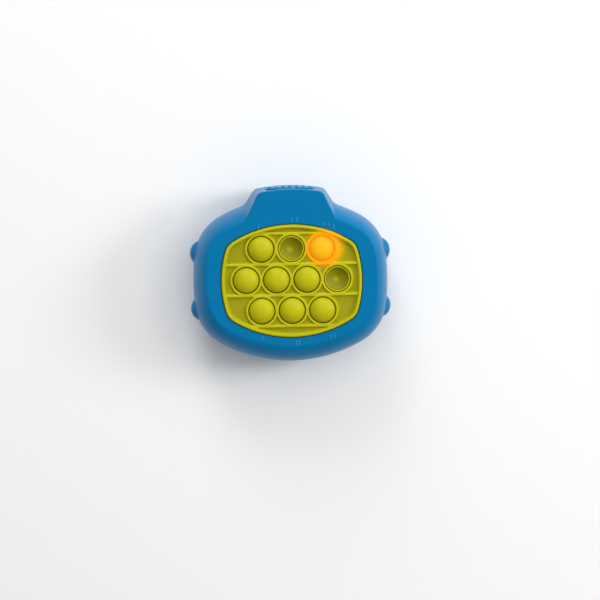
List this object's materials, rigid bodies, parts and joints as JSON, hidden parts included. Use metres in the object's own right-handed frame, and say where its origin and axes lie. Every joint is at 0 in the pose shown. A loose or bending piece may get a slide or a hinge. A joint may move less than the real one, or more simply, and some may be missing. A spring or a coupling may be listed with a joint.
{
  "type": "electronic bubble pop game",
  "caption": "Hand-held electronic bubble pop game: rounded clamshell case with a crown, silicone pad of pop-in bubbles, power button on the crown and a battery door at the back.",
  "frame": {"origin": "centre of the bounding box in X and Y, on the flat back face that the game lies on", "axes": "+Z out of the bubble face, +Y towards the crown, +X to the player's right"},
  "size_m": [0.087, 0.0775, 0.0342],
  "materials": {
    "blue_plastic": "satin moulded blue",
    "lime_silicone": "satin silicone, yellow-green",
    "lit_silicone": "silicone lit from behind, orange",
    "carbon_rubber": "matt carbon-filled",
    "led_plastic": "cream diode package",
    "white_plastic": "white moulded",
    "board_laminate": "green solder mask",
    "black_plastic": "black moulded",
    "speaker_metal": "pressed steel",
    "cell_jacket": "plain silver jacket",
    "nickel": "nickel-plated spring steel",
    "screw_steel": "zinc-plated",
    "lead_black": "black insulation",
    "lead_red": "red insulation"
  },
  "bodies": {
    "case": {"front_shell": "blue_plastic", "rear_shell": "blue_plastic", "bubble_pad": "lime_silicone", "light_frame": "white_plastic", "circuit_board": "board_laminate", "led_01": "led_plastic", "led_02": "led_plastic", "led_03": "led_plastic", "led_04": "led_plastic", "led_05": "led_plastic", "led_06": "led_plastic", "led_07": "led_plastic", "led_08": "led_plastic", "led_09": "led_plastic", "led_10": "led_plastic", "sound_chip": "black_plastic", "speaker": "speaker_metal", "power_switch": "black_plastic", "cell_1": "cell_jacket", "cell_2": "cell_jacket", "negative_contact": "nickel", "positive_contact": "nickel", "bridge_contact": "nickel", "case_screw_1": "screw_steel", "case_screw_2": "screw_steel", "case_screw_3": "screw_steel", "case_screw_4": "screw_steel", "board_screw_1": "screw_steel", "board_screw_2": "screw_steel", "battery_lead_negative": "lead_black", "battery_lead_positive": "lead_red", "speaker_lead_positive": "lead_red", "speaker_lead_negative": "lead_black"},
    "bubble_01": {"bubble_01": "lime_silicone", "pill_01": "carbon_rubber"},
    "bubble_02": {"bubble_02": "lime_silicone", "pill_02": "carbon_rubber"},
    "bubble_03": {"bubble_03": "lit_silicone", "pill_03": "carbon_rubber"},
    "bubble_04": {"bubble_04": "lime_silicone", "pill_04": "carbon_rubber"},
    "bubble_05": {"bubble_05": "lime_silicone", "pill_05": "carbon_rubber"},
    "bubble_06": {"bubble_06": "lime_silicone", "pill_06": "carbon_rubber"},
    "bubble_07": {"bubble_07": "lime_silicone", "pill_07": "carbon_rubber"},
    "bubble_08": {"bubble_08": "lime_silicone", "pill_08": "carbon_rubber"},
    "bubble_09": {"bubble_09": "lime_silicone", "pill_09": "carbon_rubber"},
    "bubble_10": {"bubble_10": "lime_silicone", "pill_10": "carbon_rubber"},
    "power_button": {"power_button": "blue_plastic", "switch_plunger": "white_plastic"},
    "battery_door": {"battery_door": "blue_plastic", "door_screw": "screw_steel"}
  },
  "joints": [
    {"name": "bubble_01_pop", "type": "slide", "parent": "case", "child": "bubble_01", "axis": [0, 0, -1], "range_m": [0, 0.006]},
    {"name": "bubble_02_pop", "type": "slide", "parent": "case", "child": "bubble_02", "axis": [0, 0, -1], "range_m": [-0.006, 0]},
    {"name": "bubble_03_pop", "type": "slide", "parent": "case", "child": "bubble_03", "axis": [0, 0, -1], "range_m": [0, 0.006]},
    {"name": "bubble_04_pop", "type": "slide", "parent": "case", "child": "bubble_04", "axis": [0, 0, -1], "range_m": [0, 0.006]},
    {"name": "bubble_05_pop", "type": "slide", "parent": "case", "child": "bubble_05", "axis": [0, 0, -1], "range_m": [0, 0.006]},
    {"name": "bubble_06_pop", "type": "slide", "parent": "case", "child": "bubble_06", "axis": [0, 0, -1], "range_m": [0, 0.006]},
    {"name": "bubble_07_pop", "type": "slide", "parent": "case", "child": "bubble_07", "axis": [0, 0, -1], "range_m": [-0.006, 0]},
    {"name": "bubble_08_pop", "type": "slide", "parent": "case", "child": "bubble_08", "axis": [0, 0, -1], "range_m": [0, 0.006]},
    {"name": "bubble_09_pop", "type": "slide", "parent": "case", "child": "bubble_09", "axis": [0, 0, -1], "range_m": [0, 0.006]},
    {"name": "bubble_10_pop", "type": "slide", "parent": "case", "child": "bubble_10", "axis": [0, 0, -1], "range_m": [0, 0.006]},
    {"name": "power_button_press", "type": "slide", "parent": "case", "child": "power_button", "axis": [0, -1, 0], "range_m": [0, 0.0008], "stiffness_N_per_m": 500},
    {"name": "battery_door_hinge", "type": "hinge", "parent": "case", "child": "battery_door", "pos_m": [-0.02625, -0.01135, 0.0002], "axis": [0, 1, 0], "range_deg": [0, 45]}
  ]
}
